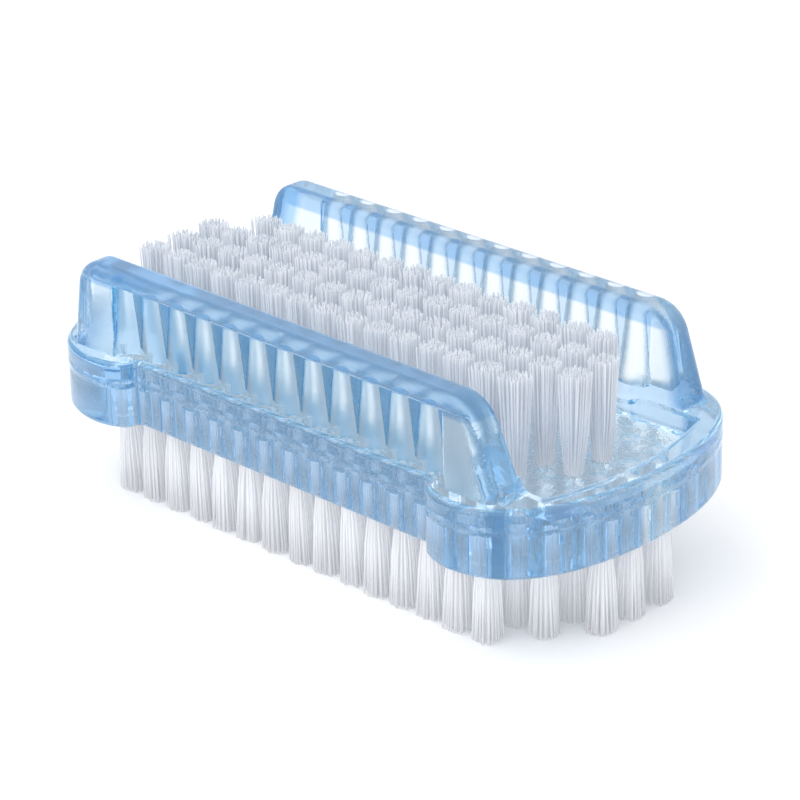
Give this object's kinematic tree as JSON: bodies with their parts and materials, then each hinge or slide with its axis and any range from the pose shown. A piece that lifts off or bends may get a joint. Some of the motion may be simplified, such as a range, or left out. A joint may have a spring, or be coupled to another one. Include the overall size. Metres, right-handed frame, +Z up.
{
  "type": "nail brush",
  "caption": "Double-sided clear acrylic nail brush with waisted slab, two fluted finger-grip walls and nylon tufts on both faces.",
  "frame": {"origin": "middle of the brush, level with the tips of the lower bristles it stands on", "axes": "+X along the brush, +Y across it, +Z up through the finger-grip walls"},
  "size_m": [0.092, 0.046, 0.0336],
  "materials": {
    "clear_acrylic": "polished, clear, pale blue",
    "nylon_bristle": "translucent white filament",
    "anchor_wire": "plain flat wire"
  },
  "bodies": {
    "root": {"acrylic_body": "clear_acrylic", "top_tufts_row_1": "nylon_bristle", "top_anchors_row_1": "anchor_wire", "top_tufts_row_2": "nylon_bristle", "top_anchors_row_2": "anchor_wire", "top_tufts_row_3": "nylon_bristle", "top_anchors_row_3": "anchor_wire", "top_tufts_row_4": "nylon_bristle", "top_anchors_row_4": "anchor_wire", "bottom_tufts_row_1": "nylon_bristle", "bottom_anchors_row_1": "anchor_wire", "bottom_tufts_row_2": "nylon_bristle", "bottom_anchors_row_2": "anchor_wire", "bottom_tufts_row_3": "nylon_bristle", "bottom_anchors_row_3": "anchor_wire", "bottom_tufts_row_4": "nylon_bristle", "bottom_anchors_row_4": "anchor_wire", "bottom_tufts_row_5": "nylon_bristle", "bottom_anchors_row_5": "anchor_wire", "bottom_tufts_row_6": "nylon_bristle", "bottom_anchors_row_6": "anchor_wire", "bottom_tufts_row_7": "nylon_bristle", "bottom_anchors_row_7": "anchor_wire"}
  },
  "joints": []
}
